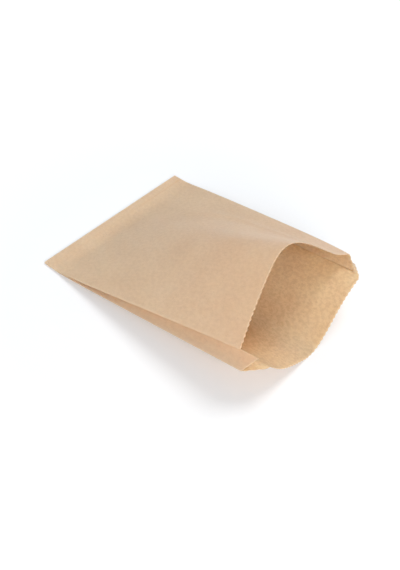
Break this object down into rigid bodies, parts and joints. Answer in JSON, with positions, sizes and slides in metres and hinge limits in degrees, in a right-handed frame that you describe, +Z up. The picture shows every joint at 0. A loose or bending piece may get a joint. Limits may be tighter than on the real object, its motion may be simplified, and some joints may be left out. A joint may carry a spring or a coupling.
{
  "type": "kraft paper bag",
  "caption": "Plain brown kraft paper takeaway bag with side gussets, lying on its back with its serrated mouth opened.",
  "frame": {"origin": "bottom centre of the bag's bounding box, on the surface that it lies on", "axes": "+Z up from the surface, +Y towards the glued closed end, -Y out of the open mouth, +X across the bag"},
  "size_m": [0.1802, 0.2534, 0.0992],
  "materials": {
    "kraft_paper": "matte, unbleached machine-glazed kraft paper"
  },
  "bodies": {
    "root": {"paper_bag": "kraft_paper"}
  },
  "joints": []
}
